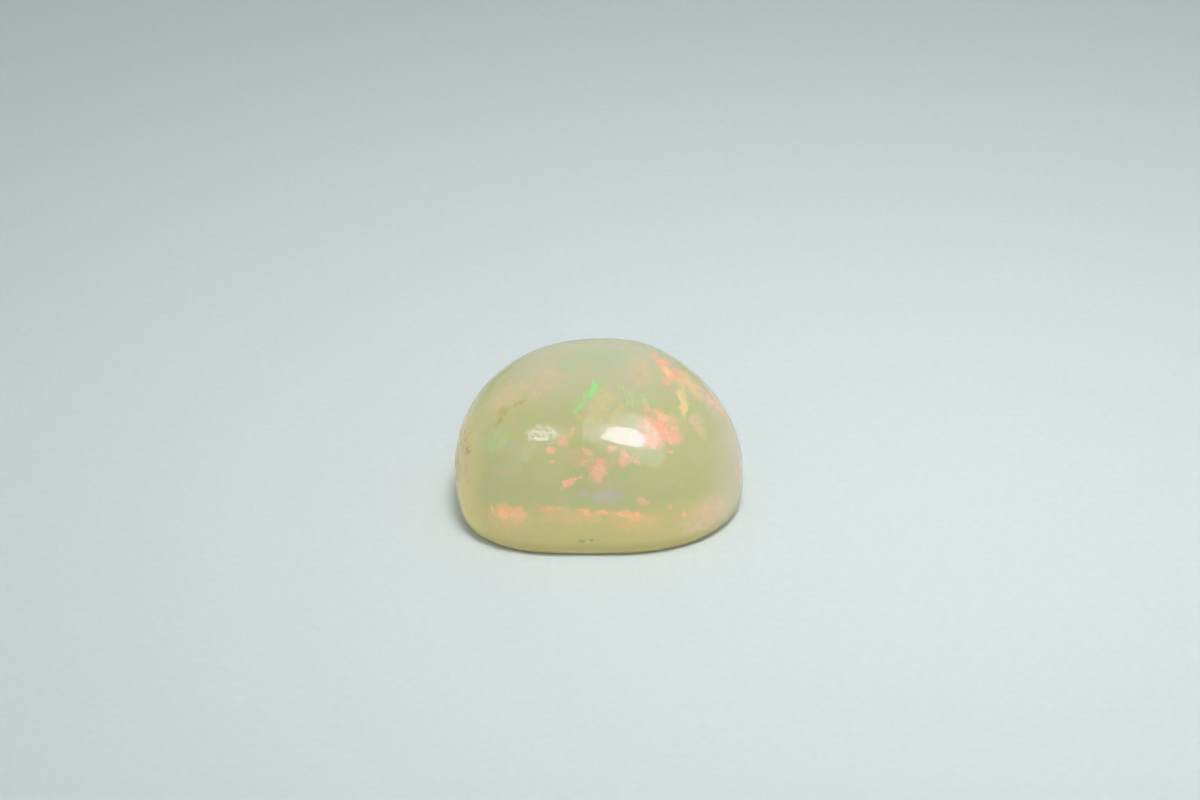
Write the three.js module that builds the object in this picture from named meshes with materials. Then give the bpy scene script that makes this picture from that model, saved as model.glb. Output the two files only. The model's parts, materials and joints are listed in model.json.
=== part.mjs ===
// A polished free-form opal: one high, slightly lopsided dome on a flat ground base.
// Millimetres, +Z up. The origin is the middle of the base, and the front of the stone faces -Y.
import * as THREE from "three";

// Driving dimensions of the finished stone.
const WIDTH = 18.0;
const DEPTH = 14.1;
const HEIGHT = 10.35;

// The girdle is the widest line of the stone. Below it the wall runs down to a crisp lower edge, and a
// narrow ground bevel leads from that edge to the flat base. The shares are of the girdle's reach.
const GIRDLE_HEIGHT = 1.6;
const EDGE_HEIGHT = 0.5;
const EDGE_SHARE = 0.985;
const BASE_SHARE = 0.935;

// Plan of the girdle: four quarter ovals that share their ends. A higher power has a squarer corner.
const FRONT_REACH = 7.9;
const BACK_REACH = DEPTH - FRONT_REACH;
const CORNER_POWER = { frontLeft: 3.25, frontRight: 2.25, backLeft: 2.5, backRight: 2.25 };

// Section of the dome: 2 is an ellipse. The crown leans off the middle of the girdle.
const DOME_POWER = 2.1;
const CROWN_LEAN = new THREE.Vector2(-0.3, 0.25);

// Broad swells and flats that grinding by hand leaves, as directions from a point inside the stone.
// Azimuth turns from +X towards +Y, elevation is above the horizon, and a swell fades over its spread.
const CORE_HEIGHT = 2.5;
const SWELLS = [
  { place: "front wall", azimuth: 268, elevation: 4, spread: 24, rise: -0.2 },
  { place: "left wall", azimuth: 185, elevation: 10, spread: 28, rise: 0.5 },
  { place: "right wall", azimuth: 355, elevation: 10, spread: 28, rise: 0.08 },
  { place: "right shoulder", azimuth: 0, elevation: 40, spread: 26, rise: -0.16 },
  { place: "right of the crown", azimuth: 0, elevation: 72, spread: 26, rise: 0.3 },
  { place: "back right flat", azimuth: 62, elevation: 24, spread: 26, rise: -0.3 },
];

// Facets: rings along the half section and steps around it.
const BEVEL_RINGS = 2;
const WALL_RINGS = 5;
const DOME_RINGS = 35;
const STEPS_AROUND = 100;

const COLOUR = 0xbdbb88;
const ROUGHNESS = 0.12;
const METALNESS = 0;

// Half section from the middle of the base to the top of the crown: share of the girdle's reach, height.
function halfSection() {
  const points = [new THREE.Vector2(0, 0)];
  for (let ring = 0; ring < BEVEL_RINGS; ring++) {
    const rise = ring / BEVEL_RINGS;
    points.push(new THREE.Vector2(BASE_SHARE + (EDGE_SHARE - BASE_SHARE) * rise, EDGE_HEIGHT * rise));
  }
  for (let ring = 0; ring < WALL_RINGS; ring++) {
    const rise = ring / WALL_RINGS;
    const reach = EDGE_SHARE + (1 - EDGE_SHARE) * Math.sin(rise * (Math.PI / 2));
    points.push(new THREE.Vector2(reach, EDGE_HEIGHT + (GIRDLE_HEIGHT - EDGE_HEIGHT) * rise));
  }
  for (let ring = 0; ring < DOME_RINGS; ring++) {
    const turn = (ring / DOME_RINGS) * (Math.PI / 2);
    const reach = Math.cos(turn) ** (2 / DOME_POWER);
    const rise = Math.sin(turn) ** (2 / DOME_POWER);
    points.push(new THREE.Vector2(reach, GIRDLE_HEIGHT + (HEIGHT - GIRDLE_HEIGHT) * rise));
  }
  points.push(new THREE.Vector2(0, HEIGHT));
  return points;
}

// How far the girdle reaches from the axis at an azimuth in radians.
function girdleReach(azimuth) {
  const across = Math.cos(azimuth);
  const along = Math.sin(azimuth);
  const side = across < 0 ? "Left" : "Right";
  const power = CORNER_POWER[(along < 0 ? "front" : "back") + side];
  const reach = along < 0 ? FRONT_REACH : BACK_REACH;
  const bulk = Math.abs(across / (WIDTH / 2)) ** power + Math.abs(along / reach) ** power;
  return bulk ** (-1 / power);
}

// Takes a point of the round dome, one unit wide at the girdle, to the plan and lean of the stone.
function toPlan(point) {
  const reach = girdleReach(Math.atan2(point.y, point.x));
  const rise = Math.max(0, (point.z - GIRDLE_HEIGHT) / (HEIGHT - GIRDLE_HEIGHT));
  point.x = point.x * reach + CROWN_LEAN.x * rise;
  point.y = point.y * reach + CROWN_LEAN.y * rise;
}

function direction(azimuth, elevation) {
  const polar = THREE.MathUtils.degToRad(90 - elevation);
  const turn = THREE.MathUtils.degToRad(azimuth);
  const pointing = new THREE.Vector3().setFromSphericalCoords(1, polar, turn);
  return new THREE.Vector3(pointing.z, pointing.x, pointing.y);
}

// Pushes a point out or in by the swells around it. The base stays flat: there they only move it sideways.
function swell(point) {
  const outward = point.clone().setZ(point.z - CORE_HEIGHT).normalize();
  let rise = 0;
  for (const place of SWELLS) {
    const apart = outward.angleTo(direction(place.azimuth, place.elevation));
    const fade = THREE.MathUtils.radToDeg(apart) / place.spread;
    rise += place.rise * Math.exp(-fade * fade);
  }
  outward.z *= THREE.MathUtils.clamp(point.z / HEIGHT, 0, 1);
  point.addScaledVector(outward, rise);
}

// Brings the stone to its driving dimensions, with the middle of its base at the origin.
function toSize(geometry) {
  geometry.computeBoundingBox();
  const size = geometry.boundingBox.getSize(new THREE.Vector3());
  const middle = geometry.boundingBox.getCenter(new THREE.Vector3());
  geometry.translate(-middle.x, -middle.y, -geometry.boundingBox.min.z);
  geometry.scale(WIDTH / size.x, DEPTH / size.y, HEIGHT / size.z);
}

function opalGeometry() {
  const geometry = new THREE.LatheGeometry(halfSection(), STEPS_AROUND);
  geometry.rotateX(Math.PI / 2);
  const position = geometry.attributes.position;
  const point = new THREE.Vector3();
  for (let i = 0; i < position.count; i++) {
    point.fromBufferAttribute(position, i);
    toPlan(point);
    swell(point);
    position.setXYZ(i, point.x, point.y, point.z);
  }
  toSize(geometry);
  geometry.computeVertexNormals();
  return geometry;
}

const opal = new THREE.Mesh(
  opalGeometry(),
  new THREE.MeshStandardMaterial({ color: COLOUR, roughness: ROUGHNESS, metalness: METALNESS }),
);
opal.name = "opal";

const stone = new THREE.Group();
stone.add(opal);

export default stone;
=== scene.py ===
"""The looks of a polished free-form opal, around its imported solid.

Lengths are metres unless a name says mm.
"""

import json
import math
from collections import namedtuple

import bpy
from mathutils import Euler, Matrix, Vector

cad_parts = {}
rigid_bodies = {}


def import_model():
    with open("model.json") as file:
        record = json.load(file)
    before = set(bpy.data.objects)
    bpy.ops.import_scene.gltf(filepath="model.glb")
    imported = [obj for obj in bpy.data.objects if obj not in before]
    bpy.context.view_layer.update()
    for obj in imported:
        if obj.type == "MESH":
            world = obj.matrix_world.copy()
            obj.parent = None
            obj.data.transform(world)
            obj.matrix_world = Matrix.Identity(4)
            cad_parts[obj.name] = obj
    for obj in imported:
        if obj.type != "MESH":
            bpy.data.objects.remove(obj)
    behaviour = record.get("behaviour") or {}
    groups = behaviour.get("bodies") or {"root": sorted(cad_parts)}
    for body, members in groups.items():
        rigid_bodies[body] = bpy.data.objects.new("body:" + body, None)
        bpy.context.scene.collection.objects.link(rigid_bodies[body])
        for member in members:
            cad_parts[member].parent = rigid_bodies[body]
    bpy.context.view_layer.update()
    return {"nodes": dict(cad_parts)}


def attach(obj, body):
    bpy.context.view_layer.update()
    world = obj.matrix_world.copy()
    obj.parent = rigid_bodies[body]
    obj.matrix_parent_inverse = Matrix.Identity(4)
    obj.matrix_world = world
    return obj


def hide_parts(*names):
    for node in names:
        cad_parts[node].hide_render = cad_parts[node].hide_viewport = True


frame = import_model()
MM = 0.001

# The photograph's frame and view. STONE_PIXEL is where the point AIM_HEIGHT over the base's middle shows.
IMAGE_WIDTH = 1200
IMAGE_HEIGHT = 800
LENS = 100.0
SENSOR = 36.0
VIEW_ELEVATION = math.radians(28.0)
VIEW_DISTANCE = 206.7 * MM
AIM_HEIGHT = 4.0 * MM
STONE_PIXEL = (599.3, 445.3)
FOCAL_PIXELS = IMAGE_WIDTH * LENS / SENSOR

# The edges that the grinder left: crisp, with a radius that a fingernail just feels.
LOWER_EDGE_HEIGHT = 0.5 * MM
EDGE_ROUND = 0.07 * MM
EDGE_SEGMENTS = 2
EDGE_FROM_AXIS = 3.0 * MM
MERGE = 0.001 * MM
SUBDIVISIONS = 2

# The crown's fan of facets, which a patch of quads takes the place of.
CROWN_SPOKES = 50
CROWN_RINGS = 9
CROWN_SPAN = 25
CROWN_SMOOTHING = 0.5
CROWN_SMOOTH_PASSES = 6

# Waves that hand polishing leaves: their size, and how far they rise and sink.
LAP_WAVE = 3.0 * MM
LAP_WAVE_RISE = 0.03 * MM

# Natural skin that the polish did not reach, on the left wall.
SKIN_PIXEL = (462, 447)
SKIN_REACH = 2.4 * MM
SKIN_GRAIN = 0.3 * MM
SKIN_RELIEF = 0.05 * MM

# The stage: a sheet of paper that curves up all round, inside a band of silk.
FLOOR_RADIUS = 320.0 * MM
FLOOR_SIDES = 96
COVE_RADIUS = 180.0 * MM
COVE_STEPS = 14
COVE_CREASE = math.radians(30)
PAPER_FIBRE = 0.5 * MM
PAPER_DETAIL = 3.0
PAPER_ROUGHNESS = 0.85
TENT_RADIUS = 290.0 * MM
TENT_HEIGHT = 220.0 * MM
TENT_GAP = 6.0 * MM
TENT_SIDES = 64
SILK_GLOW = 0.65

# The lamps. A grid keeps the pool lamp's light on the middle of the paper. A softbox has the pixel at which
# the polish mirrors it, its width and height, its radiance and its lean in degrees. The halos and the skirt
# are the lit cloth around the bulbs.
AMBIENT_STRENGTH = 0.36
POOL_LAMP = Vector((48.0 * MM, -70.0 * MM, 290.0 * MM))
POOL_LAMP_SIZE = 130.0 * MM
POOL_MIDDLE = Vector((20.0 * MM, 1.0 * MM, 0.0))
POOL_RADIANCE = 20.0
GRID_SPREAD = math.radians(35)
SOFTBOX_DISTANCE = 280.0 * MM
Softbox = namedtuple("Softbox", "pixel width height radiance lean")
SOFTBOXES = {
    "key": Softbox((628, 437), 0.124, 0.084, 11.0, -25),
    "key, inner halo": Softbox((636, 432), 0.18, 0.16, 3.0, -25),
    "key, outer halo": Softbox((639, 441), 0.24, 0.2, 2.6, -25),
    "key, left halo": Softbox((598, 430), 0.038, 0.12, 2.4, 0),
    "fill": Softbox((537, 434), 0.145, 0.074, 8.0, 0),
    "fill, halo": Softbox((549, 431), 0.1, 0.075, 2.0, 0),
    "fill, skirt": Softbox((528, 453), 0.06, 0.066, 2.0, 0),
}

# Body of the stone, in mm: a golden foot under an olive heart, and a milky crown. Part of the foot's gold is
# painted light, for the light that gathers low in the milky stone and the pale floor's reflection. Part of
# the crown's milk is a painted reflection of the overhead light. The left and right walls are painted paler
# as painted rim light, for the light through the thin milky edges and their pale reflection. The lowest wall
# is darkened as painted shade near the floor, and the ground bevel gets a milder painted shade. Clouds in
# the milk push their borders to and fro.
FOOT_TOP_MM = 3.2
FOOT_FADE_MM = 0.7
CONTACT_TOP_MM = 3.45
CONTACT_FADE_MM = 0.2
LEFT_RIM_LIGHT_MM = -7.6
RIGHT_RIM_LIGHT_MM = 7.2
RIM_LIGHT_FADE_MM = 0.9
CROWN_FROM_MM = 7.6
CROWN_TO_MM = 10.2
PAINTED_BASE_SHADE_TOP_MM = 1.2
BEVEL_TOP_MM = 0.47
BEVEL_FADE_MM = 0.05
BORDER_PUSH_MM = 0.6

# The part of the noise that haze in the milk takes, and how much the hazes, the painted rim light and the
# painted shade of the lowest wall cover the body.
WARM_HAZE = (0.45, 0.7)
GREEN_HAZE = (0.48, 0.7)
WARM_HAZE_COVER = 0.45
GREEN_HAZE_COVER = 0.4
RIM_LIGHT_COVER = 0.8
PAINTED_BASE_SHADE_COVER = 0.6

# Sizes of the patterns in the opal, in mm: clouds and haze in the milk, the drift that bends borders and how
# far it bends them, crystal domains, the fine ribs in them, grain, and how deep a patch of colour reaches.
# A detail is the number of finer octaves that a noise has.
CLOUD_MM = 2.6
HAZE_MM = 1.2
DRIFT_MM = 0.9
DRIFT_REACH_MM = 0.6
DOMAIN_MM = 0.5
RIB_MM = (0.13, 0.6, 0.4)
GRAIN_MM = 0.14
PATCH_DEPTH_MM = 2.6
CLOUD_DETAIL = 3.0
RIB_DETAIL = 2.0

# How a patch frays: how far domains snap its border and tears shift it, the part of ribs and grain together
# that thins it, and the share of its colour that the dullest domain keeps.
SNAP = 0.35
TEAR = 0.45
THREAD = (0.8, 1.2)
DULLEST_DOMAIN = 0.7

# The side that the photograph does not show: the cosines from the view between which it starts, how far up
# the wall its colour comes in, the sizes of its flakes and of regions of one hue, the part of the noise that
# each of them takes, how much veils and flakes cover, and how much painted glow the flakes get.
UNSEEN = (0.2, -0.1)
UNSEEN_RISE_MM = 1.0
FLAKE_MM = 1.8
FLAKE_DETAIL = 1.5
REGION_MM = 3.5
UNSEEN_VEIL = (0.48, 0.64)
UNSEEN_FLAKE = (0.58, 0.68)
GOLD_REGION = (0.5, 0.56)
GREEN_REGION = (0.57, 0.62)
UNSEEN_VEIL_COVER = 0.3
UNSEEN_FLAKE_COVER = 0.8
UNSEEN_FLAKE_GLOW = 0.15

# The polish, with sizes in mm: a faint peel that makes mirror images waver, and finer dimples by a pixel.
POLISH_ROUGHNESS = (0.015, 0.045)
SKIN_ROUGHNESS = 0.25
PEEL_MM = 0.36
PEEL_DEPTH_MM = 0.006
DIMPLE_PIXEL = (539, 436)
DIMPLE_REACH_MM = 1.6
DIMPLE_MM = 0.21
DIMPLE_DEPTH_MM = 0.022

# How opal bends light, and how far each of red, green and blue wanders in its milk.
OPAL_IOR = 1.45
SCATTER_REACH = 1.2 * MM
SCATTER_SHARES = (1.0, 0.9, 0.55)

# Play of colour where the photograph shows it: two hues that it wanders between, how much of it covers the
# body, how soft its borders are, how far ribs thin it out, how much painted glow it gets (an emission that
# stands in for the bright flash of light that play of colour reflects), whether crystal domains break it up,
# and its patches. A patch has the pixel of its middle, its half length and half width in mm, and its lean in
# degrees.
Fire = namedtuple("Fire", "hues cover soft streak glow broken patches")
FIRE = {
    "straw veil": Fire(("e0d492", "e5da9e"), 0.6, 0.6, 0.3, 0.0, False, {
        "left shoulder": ((500, 402), 1.8, 1.0, 50),
    }),
    "pink veil": Fire(("f2c6a6", "f8d2b6"), 0.5, 0.6, 0.6, 0.0, False, {
        "brow": ((537, 382), 1.5, 0.95, 15),
        "brow, left": ((506, 397), 1.1, 0.55, 35),
        "crown right": ((640, 372), 1.0, 0.75, 100),
        "centre glow": ((585, 458), 1.6, 0.6, -10),
        # Painted rim light: a thin pale strip along the left wall for the light of its thin milky edge.
        "left wall": ((466, 470), 1.4, 0.3, 95),
    }),
    "rose veil": Fire(("fcd0bc", "ffdaca"), 0.72, 0.6, 0.5, 0.0, False, {
        "right cheek": ((697, 424), 0.85, 0.3, -65),
        "right rim": ((714, 402), 1.35, 0.5, -52),
        # Painted rim light: a thin pale strip along the right wall for the light of its thin milky edge.
        "right wall": ((739, 468), 1.3, 0.25, 95),
        "right foot": ((706, 514), 1.7, 0.8, 25),
    }),
    "gold veil": Fire(("e9d69c", "efdea8"), 0.6, 0.5, 0.3, 0.0, False, {
        "crown triangle": ((600, 404), 1.1, 0.6, 40),
        "crown triangle, foot": ((592, 415), 0.9, 0.3, 5),
        "band": ((690, 381), 0.9, 0.6, -45),
        "crown crumbs": ((618, 412), 0.5, 0.25, 40),
    }),
    "green veil": Fire(("c2e29c", "cceab0"), 0.5, 0.6, 0.4, 0.0, False, {
        "left": ((499, 441), 0.95, 0.62, 20),
    }),
    "mist veil": Fire(("b2d09c", "bad6a8"), 0.6, 0.6, 0.4, 0.0, False, {
        "crown": ((598, 355), 1.5, 0.5, 5),
        "crown, left": ((567, 364), 0.6, 0.35, 10),
    }),
    "teal veil": Fire(("b6d0b4", "bed6be"), 0.3, 0.6, 0.2, 0.0, False, {
        "left": ((513, 446), 0.35, 0.5, 90),
        "crown": ((612, 363), 0.5, 0.5, 0),
    }),
    "lilac veil": Fire(("cfc8d4", "d6cfdc"), 0.58, 0.6, 0.3, 0.0, False, {
        "front": ((607, 497), 1.0, 0.3, 4),
        "front, peak": ((609, 492), 0.3, 0.25, 90),
        "front, left": ((583, 493), 0.24, 0.14, 20),
    }),
    "salmon": Fire(("f8bd9a", "fccaa8"), 0.66, 0.55, 0.5, 0.1, True, {
        "band, outer": ((689, 384), 0.72, 0.3, -48),
        "band, fading": ((698, 396), 0.45, 0.25, -52),
        "rim streak": ((716, 404), 0.7, 0.16, -52),
        "chain, top": ((572, 430), 0.26, 0.1, 75),
        "beside the chain": ((587, 452), 0.34, 0.08, -30),
        "beside the centre": ((633, 459), 0.46, 0.2, -15),
        "brow dot": ((548, 371), 0.17, 0.1, -20),
        "big flash, spike": ((646, 409), 0.5, 0.13, 100),
        "big flash, haze": ((663, 416), 0.9, 0.26, -22),
        "chain, dot": ((552, 462), 0.14, 0.14, 0),
        "centre, small": ((584, 462), 0.3, 0.16, 25),
        "front speck": ((644, 502), 0.26, 0.14, -20),
        "front far speck": ((669, 508), 0.2, 0.12, 25),
    }),
    "coral": Fire(("fdb09d", "ffbfad"), 0.9, 0.55, 0.4, 0.2, True, {
        "big flash": ((660, 427), 1.25, 0.62, -20),
        "big flash, under the halo": ((651, 440), 0.8, 0.45, -20),
        "big flash, heart": ((664, 433), 0.5, 0.48, 0),
        "big flash, end": ((672, 436), 0.4, 0.62, 90),
        "chain, upper": ((563, 441), 0.42, 0.34, 70),
        "chain, left": ((550, 449), 0.24, 0.17, 0),
        "slash": ((572, 481), 0.68, 0.17, 33),
        "centre": ((600, 469), 0.58, 0.42, 80),
        "under the key light": ((613, 448), 0.26, 0.2, 0),
        "right of centre": ((623, 458), 0.46, 0.24, 85),
        "right dot": ((671, 453), 0.15, 0.15, 0),
    }),
    "gold": Fire(("f6d898", "fbdea8"), 0.85, 0.5, 0.3, 0.1, True, {
        "right": ((682, 397), 0.55, 0.24, 100),
        "right, lower": ((684, 408), 0.4, 0.28, 85),
    }),
    "apricot": Fire(("f2aa8a", "f8b696"), 0.88, 0.5, 0.3, 0.14, True, {
        "band, spike": ((656, 356), 0.35, 0.16, -60),
        "band, shoulder": ((663, 363), 0.45, 0.3, -15),
        "band, heart": ((673, 373), 0.7, 0.36, -15),
        "band, foot": ((667, 381), 0.34, 0.32, 0),
    }),
    "peach": Fire(("f8c28c", "fcca96"), 0.8, 0.5, 0.3, 0.16, True, {
        "band, core": ((666, 371), 0.32, 0.22, -50),
    }),
    "green": Fire(("86ea7c", "9eee94"), 0.85, 0.6, 0.75, 0.14, True, {
        "slash, top": ((597, 387), 0.42, 0.12, 62),
        "slash, top fringe": ((594, 384), 0.24, 0.07, 62),
        "slash, middle": ((591, 393), 0.36, 0.17, 55),
        "slash, middle fringe": ((586, 395), 0.3, 0.08, 58),
        "slash, lower": ((581, 404), 0.46, 0.18, 58),
        "slash, end": ((576, 411), 0.24, 0.17, 60),
        "slash, spur": ((603, 389), 0.26, 0.06, 40),
    }),
    "green crumbs": Fire(("b2ec92", "c0eea2"), 0.36, 0.6, 0.95, 0.06, True, {
        "left": ((622, 386), 0.3, 0.1, -70),
        "left, foot": ((626, 392), 0.24, 0.12, -30),
        "middle": ((633, 400), 0.5, 0.34, -60),
        "right": ((643, 398), 0.34, 0.14, -35),
    }),
}

# Fire along the contact of the golden foot with the olive heart: it stops there and fades downwards.
CONTACT_FIRE = {
    "amber veil": Fire(("f6ce98", "fad6a4"), 0.7, 0.7, 0.35, 0.0, False, {
        "left": ((508, 520), 1.3, 0.75, -3),
        "middle": ((570, 516), 1.7, 0.45, 0),
        "right": ((634, 522), 1.5, 0.6, -5),
    }),
    "orange": Fire(("fab88c", "ffc6a0"), 0.95, 0.7, 0.38, 0.21, True, {
        "left": ((509, 512), 0.76, 0.37, -6),
        "left, feather": ((493, 509), 0.14, 0.34, 20),
        "middle": ((554, 507), 0.72, 0.2, 2),
        "centre": ((586, 511), 0.65, 0.08, -8),
        "seam": ((605, 514), 0.6, 0.09, -3),
        "right": ((630, 515), 0.95, 0.24, -7),
        "far": ((686, 513), 0.25, 0.1, -10),
    }),
}

# Skin, iron stains and greenish pits, as patches of one hue. Specks in the skin take a part of the ribs.
SKIN_SPECK = (0.5, 0.62)
SKIN = Fire(("dcc286",), 0.3, 0.6, 0.3, 0.0, False, {
    "left wall": ((464, 443), 1.75, 0.42, 100),
    "left edge": ((457, 470), 1.3, 0.2, 92),
})
BROW_STAIN = Fire(("ad8c4c",), 0.42, 0.6, 0.7, 0.0, False, {
    "knot": ((504, 412), 0.4, 0.22, 40),
    "streak": ((516, 405), 0.42, 0.1, 38),
    "tail": ((499, 420), 0.4, 0.14, 60),
})
PIT = Fire(("72a484",), 0.8, 0.5, 0.3, 0.0, False, {
    "front pit": ((581, 541), 0.17, 0.12, 0),
    "beside it": ((591, 541), 0.12, 0.08, 0),
})


def linear(hex_colour):
    """An sRGB hex colour as linear red, green, blue and alpha."""
    parts = [int(hex_colour[i:i + 2], 16) / 255 for i in (0, 2, 4)]
    return [p / 12.92 if p <= 0.04045 else ((p + 0.055) / 1.055) ** 2.4 for p in parts] + [1.0]


def add(tree, kind, inputs=(), **settings):
    """Adds a node with its settings, values and links, and returns its outputs."""
    made = tree.nodes.new("ShaderNode" + kind)
    for name, value in settings.items():
        setattr(made, name, value)
    for key, value in dict(inputs).items():
        if isinstance(value, bpy.types.NodeSocket):
            tree.links.new(value, made.inputs[key])
        else:
            made.inputs[key].default_value = value
    return made.outputs


def new_material(name):
    material = bpy.data.materials.new(name)
    material.use_nodes = True
    material.node_tree.nodes.clear()
    return material, material.node_tree


def only(obj):
    """Makes obj the only selected and active object."""
    bpy.ops.object.select_all(action="DESELECT")
    obj.select_set(True)
    bpy.context.view_layer.objects.active = obj


def apply_modifier(obj, kind, **settings):
    modifier = obj.modifiers.new(kind.lower(), kind)
    for name, value in settings.items():
        setattr(modifier, name, value)
    bpy.ops.object.modifier_apply(modifier=modifier.name)


# Camera

def make_camera():
    bpy.ops.object.camera_add()
    made = bpy.context.object
    made.data.lens = LENS
    made.data.sensor_width = SENSOR
    made.data.clip_start = MM
    tilt = VIEW_ELEVATION - math.atan((STONE_PIXEL[1] - IMAGE_HEIGHT / 2) / FOCAL_PIXELS)
    turn = math.atan((STONE_PIXEL[0] - IMAGE_WIDTH / 2) / FOCAL_PIXELS)
    back = Vector((0.0, -math.cos(VIEW_ELEVATION), math.sin(VIEW_ELEVATION)))
    made.location = Vector((0.0, 0.0, AIM_HEIGHT)) + VIEW_DISTANCE * back
    made.rotation_euler = Euler((math.pi / 2 - tilt, 0.0, turn))
    bpy.context.scene.camera = made
    return made


camera = make_camera()
FRONT_TURN = camera.rotation_euler.copy()
FRONT_AXES = FRONT_TURN.to_matrix()


def pixel_direction(pixel):
    """The direction from the camera through a pixel of the photograph."""
    across = (pixel[0] - IMAGE_WIDTH / 2) / FOCAL_PIXELS
    down = (pixel[1] - IMAGE_HEIGHT / 2) / FOCAL_PIXELS
    return (FRONT_AXES @ Vector((across, -down, -1.0))).normalized()


# Stone

def on_stone(stone, pixel):
    """The point of the stone that shows at a pixel of the photograph, and the surface's normal there."""
    found, place, normal, _ = stone.ray_cast(camera.location, pixel_direction(pixel))
    if not found:
        raise ValueError(f"pixel {pixel} misses the stone")
    return place, normal


def round_rim(obj, height):
    """Rounds the level edge that runs round the stone at a height, in edit mode."""
    bpy.ops.mesh.select_all(action="DESELECT")
    bpy.ops.object.mode_set(mode="OBJECT")
    points = obj.data.vertices
    for edge in obj.data.edges:
        ends = [points[i].co for i in edge.vertices]
        level = all(abs(end.z - height) < EDGE_ROUND for end in ends)
        edge.select = level and all(end.xy.length > EDGE_FROM_AXIS for end in ends)
    bpy.ops.object.mode_set(mode="EDIT")
    bpy.ops.mesh.bevel(offset=EDGE_ROUND, segments=EDGE_SEGMENTS, affect="EDGES")


def close_crown(obj):
    """Trades the fan of facets at the crown for a patch of quads that lies on the solid."""
    bpy.ops.mesh.select_mode(type="VERT")
    bpy.ops.mesh.select_all(action="DESELECT")
    bpy.ops.object.mode_set(mode="OBJECT")
    points = obj.data.vertices
    spokes = [0] * len(points)
    for edge in obj.data.edges:
        for i in edge.vertices:
            spokes[i] += 1
    hub = max(range(len(points)), key=lambda i: (spokes[i] > CROWN_SPOKES, points[i].co.z))
    points[hub].select = True
    bpy.ops.object.mode_set(mode="EDIT")
    for _ in range(CROWN_RINGS):
        bpy.ops.mesh.select_more()
    bpy.ops.mesh.delete(type="FACE")
    bpy.ops.object.mode_set(mode="OBJECT")
    kept = len(obj.data.vertices)
    bpy.ops.object.mode_set(mode="EDIT")
    bpy.ops.mesh.select_mode(type="EDGE")
    bpy.ops.mesh.select_all(action="DESELECT")
    bpy.ops.mesh.select_non_manifold()
    bpy.ops.mesh.fill_grid(span=CROWN_SPAN)
    bpy.ops.object.mode_set(mode="OBJECT")
    crown = obj.vertex_groups.new(name="crown")
    crown.add(range(kept, len(obj.data.vertices)), 1.0, "REPLACE")
    apply_modifier(obj, "SHRINKWRAP", target=frame["nodes"]["opal"], vertex_group=crown.name)
    apply_modifier(
        obj, "SMOOTH", factor=CROWN_SMOOTHING, iterations=CROWN_SMOOTH_PASSES, vertex_group=crown.name,
    )


def roughen(obj, name, size, rise, share):
    """Lifts and sinks a surface by soft noise. Share says how much, from 0 to 1, at a point of it."""
    noise = bpy.data.textures.new(name, "CLOUDS")
    noise.noise_scale = size
    group = obj.vertex_groups.new(name=name)
    for point in obj.data.vertices:
        weight = share(point.co)
        if weight > 0:
            group.add([point.index], weight, "REPLACE")
    apply_modifier(
        obj, "DISPLACE", texture=noise, texture_coords="LOCAL", strength=rise, vertex_group=group.name,
    )


def make_stone():
    """The whole stone: the solid's own facets, merged, with a quad crown and rounded ground edges."""
    node = frame["nodes"]["opal"]
    stone = bpy.data.objects.new("opal_stone", node.data.copy())
    bpy.context.scene.collection.objects.link(stone)
    only(stone)
    bpy.ops.object.mode_set(mode="EDIT")
    bpy.ops.mesh.select_mode(type="EDGE")
    bpy.ops.mesh.select_all(action="SELECT")
    bpy.ops.mesh.remove_doubles(threshold=MERGE)
    bpy.ops.mesh.tris_convert_to_quads()
    for height in (0.0, LOWER_EDGE_HEIGHT):
        round_rim(stone, height)
    close_crown(stone)
    apply_modifier(stone, "SUBSURF", levels=SUBDIVISIONS, render_levels=SUBDIVISIONS)
    skin, _ = on_stone(stone, SKIN_PIXEL)
    roughen(stone, "lap waves", LAP_WAVE, LAP_WAVE_RISE, lambda at: at.z > LOWER_EDGE_HEIGHT + EDGE_ROUND)
    roughen(stone, "skin", SKIN_GRAIN, SKIN_RELIEF, lambda at: max(0.0, 1 - (at - skin).length / SKIN_REACH))
    bpy.ops.object.shade_smooth()
    return stone


stone = make_stone()


# Lights

def add_lamp(name, place, aim, width, height, lean=0.0):
    bpy.ops.object.light_add(type="AREA", location=place)
    lamp = bpy.context.object
    lamp.name = name
    turn = (place - aim).to_track_quat("Z", "Y") @ Euler((0.0, 0.0, lean)).to_quaternion()
    lamp.rotation_euler = turn.to_euler()
    lamp.data.shape = "RECTANGLE"
    lamp.data.size = width
    lamp.data.size_y = height
    lamp.visible_camera = False
    return lamp


def softbox(name, box):
    """A lamp that the polish mirrors at a pixel, and that lights nothing else."""
    place, normal = on_stone(stone, box.pixel)
    sight = pixel_direction(box.pixel)
    toward = (sight - 2 * sight.dot(normal) * normal).normalized()
    away = place + SOFTBOX_DISTANCE * toward
    lamp = add_lamp(name, away, place, box.width, box.height, math.radians(box.lean))
    lamp.data.shape = "ELLIPSE"
    lamp.data.color = linear("ece0ff")[:3]
    lamp.data.energy = box.radiance * math.pi * box.width * box.height * math.pi / 4
    lamp.visible_diffuse = False


def pool_lamp(place, aim, size, spread, radiance):
    """A gridded lamp that leaves a soft pool of light on the paper, and no mirror image on the polish."""
    lamp = add_lamp("pool", place, aim, size, size)
    lamp.data.spread = spread
    lamp.data.energy = radiance * math.pi * size * size * (1 - spread / 2 / math.tan(spread / 2))
    lamp.visible_glossy = False


for name, box in SOFTBOXES.items():
    softbox(name, box)
pool_lamp(POOL_LAMP, POOL_MIDDLE, POOL_LAMP_SIZE, GRID_SPREAD, POOL_RADIANCE)

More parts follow.
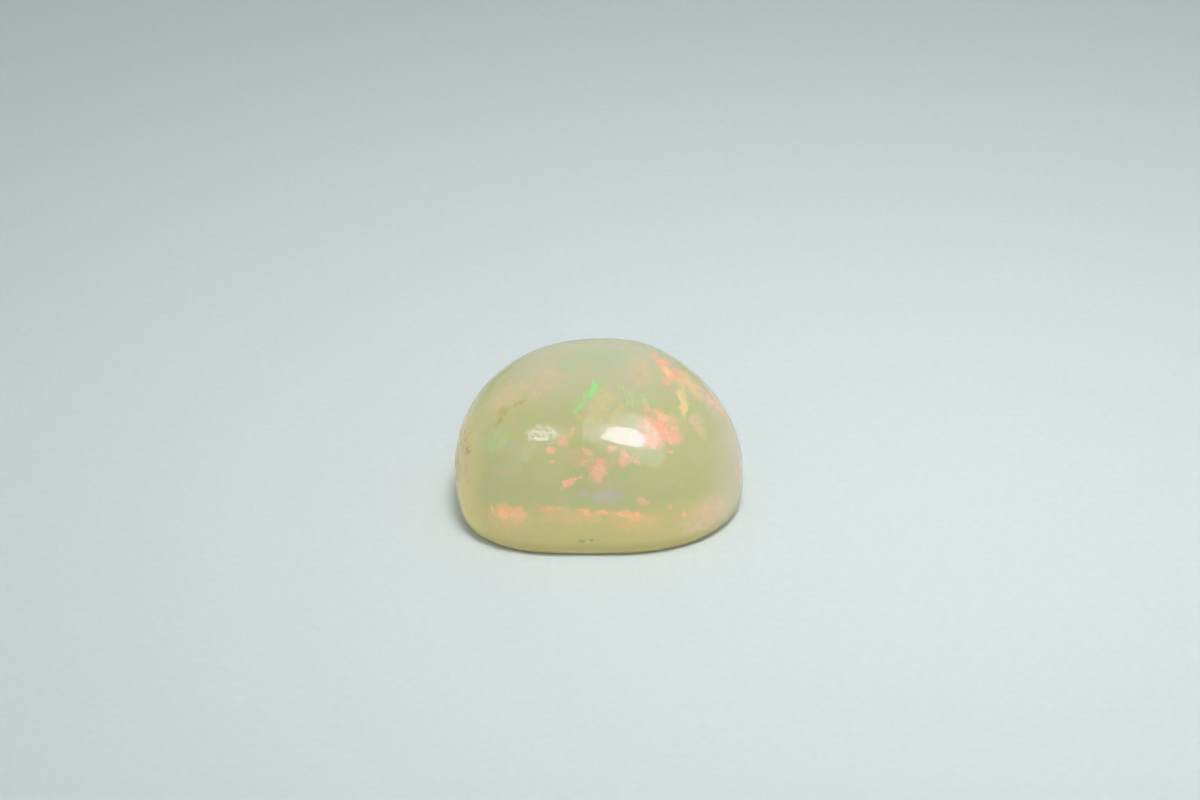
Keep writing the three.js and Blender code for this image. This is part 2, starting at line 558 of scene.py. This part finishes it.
world = bpy.data.worlds.new("soft studio")
world.use_nodes = True
world.node_tree.nodes["Background"].inputs["Color"].default_value = linear("f2fafa")
world.node_tree.nodes["Background"].inputs["Strength"].default_value = AMBIENT_STRENGTH
bpy.context.scene.world = world
bpy.context.scene.view_settings.view_transform = "Standard"


# Stage

def make_cove():
    """A round sheet of paper that curves up all round, so that no horizon shows."""
    bpy.ops.mesh.primitive_circle_add(vertices=FLOOR_SIDES, radius=FLOOR_RADIUS, fill_type="NGON")
    cove = bpy.context.object
    cove.name = "paper_cove"
    bpy.ops.object.mode_set(mode="EDIT")
    bpy.ops.mesh.select_mode(type="EDGE")
    for step in range(1, COVE_STEPS + 1):
        before, after = (math.pi / 2 * s / COVE_STEPS for s in (step - 1, step))
        rise = COVE_RADIUS * (math.cos(before) - math.cos(after))
        grow = FLOOR_RADIUS + COVE_RADIUS * math.sin(after)
        grow /= FLOOR_RADIUS + COVE_RADIUS * math.sin(before)
        bpy.ops.mesh.extrude_edges_move(TRANSFORM_OT_translate={"value": (0.0, 0.0, rise)})
        bpy.ops.transform.resize(value=(grow, grow, 1.0))
    bpy.ops.object.mode_set(mode="OBJECT")
    bpy.ops.object.shade_smooth_by_angle(angle=COVE_CREASE)
    return cove


def paper_material():
    """Matt cartridge paper: a cool white with a faint fibre tooth that only shows as a soft grain."""
    material, tree = new_material("matt cartridge paper")
    place = add(tree, "TexCoord")["Object"]
    fibre = add(tree, "TexNoise", {"Vector": place, "Scale": 1 / PAPER_FIBRE, "Detail": PAPER_DETAIL})["Fac"]
    shade = add(tree, "Mix", {0: fibre, 6: linear("dae4e5"), 7: linear("e3ecec")}, data_type="RGBA")[2]
    shader = add(tree, "BsdfPrincipled", {"Base Color": shade, "Roughness": PAPER_ROUGHNESS})
    add(tree, "OutputMaterial", {"Surface": shader[0]})
    return material


def make_tent():
    """A band of white silk round the stage, which lights the stone's walls and shows on it as a pale rim."""
    bpy.ops.mesh.primitive_cylinder_add(
        vertices=TENT_SIDES, radius=TENT_RADIUS, depth=TENT_HEIGHT, end_fill_type="NOTHING",
        location=(0.0, 0.0, TENT_GAP + TENT_HEIGHT / 2),
    )
    tent = bpy.context.object
    tent.name = "silk_tent"
    tent.visible_camera = False
    return tent


def silk_material():
    """Back-lit diffusion silk: an even white glow that a polished edge picks up."""
    material, tree = new_material("back-lit diffusion silk")
    glow = add(tree, "Emission", {"Color": linear("f6f8f6"), "Strength": SILK_GLOW})[0]
    add(tree, "OutputMaterial", {"Surface": glow})
    return material


cove = make_cove()
cove.data.materials.append(paper_material())
tent = make_tent()
tent.data.materials.append(silk_material())


# Opal

Fields = namedtuple("Fields", "stone_mm facing cloud haze bent snapped torn rib thread grain tint lively")


def opal_fields(tree):
    """The patterns that the opal is drawn with."""
    coordinates = add(tree, "TexCoord")
    normal = coordinates["Normal"]
    facing = add(tree, "VectorMath", {0: normal, 1: FRONT_AXES.col[2]}, operation="DOT_PRODUCT")["Value"]
    stone_mm = add(tree, "VectorMath", {0: coordinates["Object"], "Scale": 1 / MM}, operation="SCALE")[0]
    front_mm = add(tree, "Mapping", {"Vector": stone_mm, "Rotation": FRONT_TURN}, vector_type="TEXTURE")[0]
    cloud = add(tree, "TexNoise", {"Vector": stone_mm, "Scale": 1 / CLOUD_MM, "Detail": CLOUD_DETAIL})["Fac"]
    haze = add(tree, "TexNoise", {"Vector": stone_mm, "Scale": 1 / HAZE_MM, "Detail": CLOUD_DETAIL})["Color"]

    # Noise around its middle bends the view's plane, and crystal domains break it up.
    wander = {"Vector": front_mm, "Scale": 1 / DRIFT_MM, "Detail": CLOUD_DETAIL}
    drift = add(tree, "TexNoise", wander)["Color"]
    drift = add(tree, "VectorMath", {0: drift, 1: (0.5, 0.5, 0.5)}, operation="SUBTRACT")[0]
    reach = (DRIFT_REACH_MM, DRIFT_REACH_MM, DRIFT_REACH_MM)
    bent = add(tree, "VectorMath", {0: drift, 1: reach, 2: front_mm}, operation="MULTIPLY_ADD")[0]
    domain = add(tree, "TexVoronoi", {"Vector": bent, "Scale": 1 / DOMAIN_MM})
    snapped = add(tree, "Mix", {0: SNAP, 4: bent, 5: domain["Position"]}, data_type="VECTOR")[1]
    tint, gleam, edge = add(tree, "SeparateColor", {0: domain["Color"]})
    lively = add(tree, "MapRange", {"Value": gleam, "To Min": DULLEST_DOMAIN})[0]

    # Ribs and grain tear borders and draw fine threads.
    rib = add(tree, "Mapping", {"Vector": bent, "Scale": [1 / size for size in RIB_MM]})[0]
    rib = add(tree, "TexNoise", {"Vector": rib, "Scale": 1.0, "Detail": RIB_DETAIL})["Fac"]
    grain = add(tree, "TexNoise", {"Vector": front_mm, "Scale": 1 / GRAIN_MM, "Detail": RIB_DETAIL})["Fac"]
    torn = add(tree, "Math", {0: edge, 1: rib}, operation="ADD")[0]
    torn = add(tree, "MapRange", {"Value": torn, "From Max": 2.0, "To Min": -TEAR, "To Max": TEAR})[0]
    thread = add(tree, "Math", {0: rib, 1: grain}, operation="ADD")[0]
    thread = add(tree, "MapRange", {"Value": thread, "From Min": THREAD[0], "From Max": THREAD[1]})[0]
    return Fields(stone_mm, facing, cloud, haze, bent, snapped, torn, rib, thread, grain, tint, lively)


def zone(tree, along, push, start, end):
    """A share that runs from 0 at start to 1 at end, along a value that noise pushes to and fro."""
    pushed = add(tree, "Math", {0: along, 1: push}, operation="ADD")[0]
    limits = {"Value": pushed, "From Min": start, "From Max": end}
    return add(tree, "MapRange", limits, interpolation_type="SMOOTHSTEP")[0]


def lay(tree, under, over, share, within=1.0):
    """Lays a colour over another by a share, within another share."""
    both = add(tree, "Math", {0: share, 1: within}, operation="MULTIPLY")[0]
    return add(tree, "Mix", {0: both, 6: under, 7: over}, data_type="RGBA")[2]


def cover(tree, fields, fire):
    """The share that the patches of a fire or stain cover, frayed at their borders and thinned by ribs."""
    nearest = None
    for pixel, length, width, lean in fire.patches.values():
        near = add(tree, "Mapping", {
            "Vector": fields.snapped if fire.broken else fields.bent,
            "Location": FRONT_AXES.transposed() @ on_stone(stone, pixel)[0] / MM,
            "Rotation": (0.0, 0.0, math.radians(lean)),
            "Scale": (length, width, PATCH_DEPTH_MM),
        }, vector_type="TEXTURE")[0]
        away = add(tree, "VectorMath", {0: near}, operation="LENGTH")["Value"]
        nearest = add(tree, "Math", {0: nearest, 1: away}, operation="MINIMUM")[0] if nearest else away
    share = zone(tree, nearest, fields.torn, 1 + fire.soft, 1 - fire.soft)
    full = {0: fields.thread, 1: fire.streak, 2: 1 - fire.streak}
    thinned = add(tree, "Math", full, operation="MULTIPLY_ADD")[0]
    share = add(tree, "Math", {0: share, 1: thinned}, operation="MULTIPLY")[0]
    return add(tree, "Math", {0: share, 1: fields.lively}, operation="MULTIPLY")[0]


def opal_body(tree, fields):
    """The milky body's colour, and the share of the stone that lies below the golden foot's contact."""
    x, _, z = add(tree, "SeparateXYZ", {0: fields.stone_mm})
    to_and_fro = {"Value": fields.cloud, "To Min": -BORDER_PUSH_MM, "To Max": BORDER_PUSH_MM}
    push = add(tree, "MapRange", to_and_fro)[0]
    warm, green, _ = add(tree, "SeparateColor", {0: fields.haze})
    foot = zone(tree, z, push, FOOT_TOP_MM + FOOT_FADE_MM, FOOT_TOP_MM - FOOT_FADE_MM)
    contact = zone(tree, z, push, CONTACT_TOP_MM + CONTACT_FADE_MM, CONTACT_TOP_MM - CONTACT_FADE_MM)
    left = zone(tree, x, push, LEFT_RIM_LIGHT_MM + RIM_LIGHT_FADE_MM, LEFT_RIM_LIGHT_MM - RIM_LIGHT_FADE_MM)
    right = zone(tree, x, push, RIGHT_RIM_LIGHT_MM - RIM_LIGHT_FADE_MM, RIGHT_RIM_LIGHT_MM + RIM_LIGHT_FADE_MM)
    crown = zone(tree, z, push, CROWN_FROM_MM, CROWN_TO_MM)
    painted_base_shade = zone(tree, z, 0.0, PAINTED_BASE_SHADE_TOP_MM, BEVEL_TOP_MM)
    bevel = zone(tree, z, 0.0, BEVEL_TOP_MM + BEVEL_FADE_MM, BEVEL_TOP_MM - BEVEL_FADE_MM)
    colour = lay(tree, linear("c5c688"), linear("d1d1a0"), fields.cloud)
    colour = lay(tree, colour, linear("dccaa4"), zone(tree, warm, 0.0, *WARM_HAZE), WARM_HAZE_COVER)
    colour = lay(tree, colour, linear("c2d09a"), zone(tree, green, 0.0, *GREEN_HAZE), GREEN_HAZE_COVER)
    # Partly painted reflection: the crown is painted paler and milkier for the overhead light's soft
    # reflection on the top.
    colour = lay(tree, colour, linear("cfcfac"), crown)
    # Partly painted light: the foot is the stone's lower golden layer, painted brighter for the light that
    # gathers low in the milky stone and the pale floor's reflection.
    colour = lay(tree, colour, linear("dbd193"), foot)
    # Painted rim light: the right and left walls are painted paler for the light of the thin milky edges,
    # and the left one also lifts its wall out of the lamp's shade.
    colour = lay(tree, colour, linear("dcd4b4"), right, RIM_LIGHT_COVER)
    colour = lay(tree, colour, linear("f2e29e"), left, RIM_LIGHT_COVER)
    # Painted shade: the lowest wall is darkened near the floor, and the ground bevel gets a milder painted
    # shade in its place.
    colour = lay(tree, colour, linear("bcb07a"), painted_base_shade, PAINTED_BASE_SHADE_COVER)
    return lay(tree, colour, linear("d6c88a"), bevel), contact


def opal_fire(tree, fields, body, contact):
    """The body's colour with the play of colour over it, and a painted glow for the play of colour, which
    stands in for the bright flashes of light that it reflects.
    """
    colour, glow = body, linear("000000")
    for fires, within in ((FIRE, 1.0), (CONTACT_FIRE, contact)):
        for fire in fires.values():
            share = cover(tree, fields, fire)
            hue = lay(tree, linear(fire.hues[0]), linear(fire.hues[1]), fields.tint)
            share = add(tree, "Math", {0: share, 1: within}, operation="MULTIPLY")[0]
            colour = lay(tree, colour, hue, share, fire.cover)
            # Painted glow: an emission that stands in for the flash of light that play of colour reflects.
            if fire.glow:
                glow = lay(tree, glow, hue, share, fire.glow)

    # The side that the photograph does not show has flakes by chance.
    unseen = zone(tree, fields.facing, 0.0, *UNSEEN)
    height = add(tree, "SeparateXYZ", {0: fields.stone_mm})["Z"]
    wall = zone(tree, height, 0.0, BEVEL_TOP_MM, BEVEL_TOP_MM + UNSEEN_RISE_MM)
    within = add(tree, "Math", {0: unseen, 1: wall}, operation="MULTIPLY")[0]
    within = add(tree, "Math", {0: within, 1: fields.lively}, operation="MULTIPLY")[0]
    flakes = {"Vector": fields.snapped, "Scale": 1 / FLAKE_MM, "Detail": FLAKE_DETAIL}
    chance = add(tree, "TexNoise", flakes)["Fac"]
    veil = zone(tree, chance, 0.0, *UNSEEN_VEIL)
    flake = zone(tree, chance, 0.0, *UNSEEN_FLAKE)
    region = add(tree, "TexNoise", {"Vector": fields.snapped, "Scale": 1 / REGION_MM})["Fac"]
    coral, gold, green = FIRE["coral"].hues[0], FIRE["gold"].hues[0], FIRE["green"].hues[1]
    hue = lay(tree, linear(coral), linear(gold), zone(tree, region, 0.0, *GOLD_REGION))
    hue = lay(tree, hue, linear(green), zone(tree, region, 0.0, *GREEN_REGION))
    colour = lay(tree, colour, lay(tree, colour, hue, UNSEEN_VEIL_COVER), veil, within)
    colour = lay(tree, colour, lay(tree, colour, hue, UNSEEN_FLAKE_COVER), flake, within)
    return colour, lay(tree, glow, lay(tree, glow, hue, UNSEEN_FLAKE_GLOW), flake, within)


def opal_material():
    """Hand-polished precious opal: a waxy, milky body that light sinks into, under a glassy polish, with
    angular flakes of spectral colour that lie in it and soft veils of colour around them."""
    material, tree = new_material("polished precious opal")
    fields = opal_fields(tree)
    body, contact = opal_body(tree, fields)
    colour, glow = opal_fire(tree, fields, body, contact)

    # Skin, stains and pits.
    skin = cover(tree, fields, SKIN)
    speck = zone(tree, fields.rib, 0.0, *SKIN_SPECK)
    colour = lay(tree, colour, linear(SKIN.hues[0]), skin, SKIN.cover)
    colour = lay(tree, colour, linear("c5ae6c"), skin, speck)
    for stain in (BROW_STAIN, PIT):
        colour = lay(tree, colour, linear(stain.hues[0]), cover(tree, fields, stain), stain.cover)

    # Surface: a glassy polish that is dull where the skin is left, with its peel and dimples.
    low, high = POLISH_ROUGHNESS
    dull = add(tree, "MapRange", {"Value": fields.grain, "To Min": low, "To Max": high})[0]
    rough = add(tree, "Math", {0: skin, 1: SKIN_ROUGHNESS, 2: dull}, operation="MULTIPLY_ADD")[0]
    dimple_mm = on_stone(stone, DIMPLE_PIXEL)[0] / MM
    away = add(tree, "VectorMath", {0: fields.stone_mm, 1: dimple_mm}, operation="DISTANCE")["Value"]
    dimpled = zone(tree, away, 0.0, DIMPLE_REACH_MM, 0.0)
    peel = add(tree, "TexNoise", {"Vector": fields.stone_mm, "Scale": 1 / PEEL_MM, "Detail": 0.0})["Fac"]
    dimple = add(tree, "TexNoise", {"Vector": fields.stone_mm, "Scale": 1 / DIMPLE_MM, "Detail": 0.0})["Fac"]
    dimple = add(tree, "Math", {0: dimple, 1: dimpled}, operation="MULTIPLY")[0]
    dimple = add(tree, "Math", {0: dimple, 1: DIMPLE_DEPTH_MM}, operation="MULTIPLY")[0]
    relief = add(tree, "Math", {0: peel, 1: PEEL_DEPTH_MM, 2: dimple}, operation="MULTIPLY_ADD")[0]
    bump = add(tree, "Bump", {"Height": relief, "Distance": MM, "Strength": 1.0})[0]
    shader = add(tree, "BsdfPrincipled", {
        "Base Color": colour,
        "Roughness": rough,
        "Normal": bump,
        "IOR": OPAL_IOR,
        "Subsurface Weight": 1.0,
        "Subsurface Radius": SCATTER_SHARES,
        "Subsurface Scale": SCATTER_REACH,
        "Emission Color": glow,
        "Emission Strength": 1.0,
    }, subsurface_method="RANDOM_WALK")
    add(tree, "OutputMaterial", {"Surface": shader[0]})

    # The painted glow of the flashes is too faint to light anything else, so it is not sampled as a lamp.
    material.cycles.emission_sampling = "NONE"
    return material


stone.data.materials.clear()
stone.data.materials.append(opal_material())
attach(stone, "root")
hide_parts("opal")
